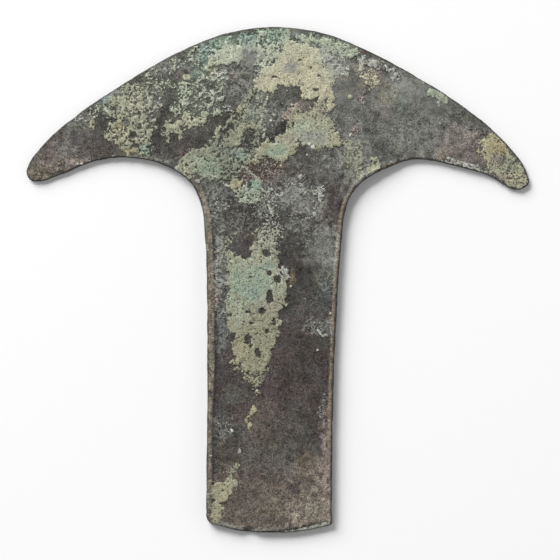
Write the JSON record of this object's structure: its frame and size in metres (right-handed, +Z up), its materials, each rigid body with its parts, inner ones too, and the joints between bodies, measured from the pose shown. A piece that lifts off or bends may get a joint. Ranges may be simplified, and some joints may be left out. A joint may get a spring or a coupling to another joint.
{
  "type": "axe money",
  "caption": "Thin T-shaped sheet of hammered copper alloy: a wide curved blade on a straight shank with low raised rims, patinated all over.",
  "frame": {"origin": "below the middle of the outline, on the flat underside", "axes": "+X to the right wing, +Y from the butt to the cutting edge, +Z up through the sheet, with the rims on the upper face"},
  "size_m": [0.1508, 0.1518, 0.0016],
  "materials": {
    "patinated_copper": "dull dark brown-grey patina on copper alloy, mottled with olive, cream and turquoise crusts, rough and pitted"
  },
  "bodies": {
    "root": {"axe_money": "patinated_copper"}
  },
  "joints": []
}
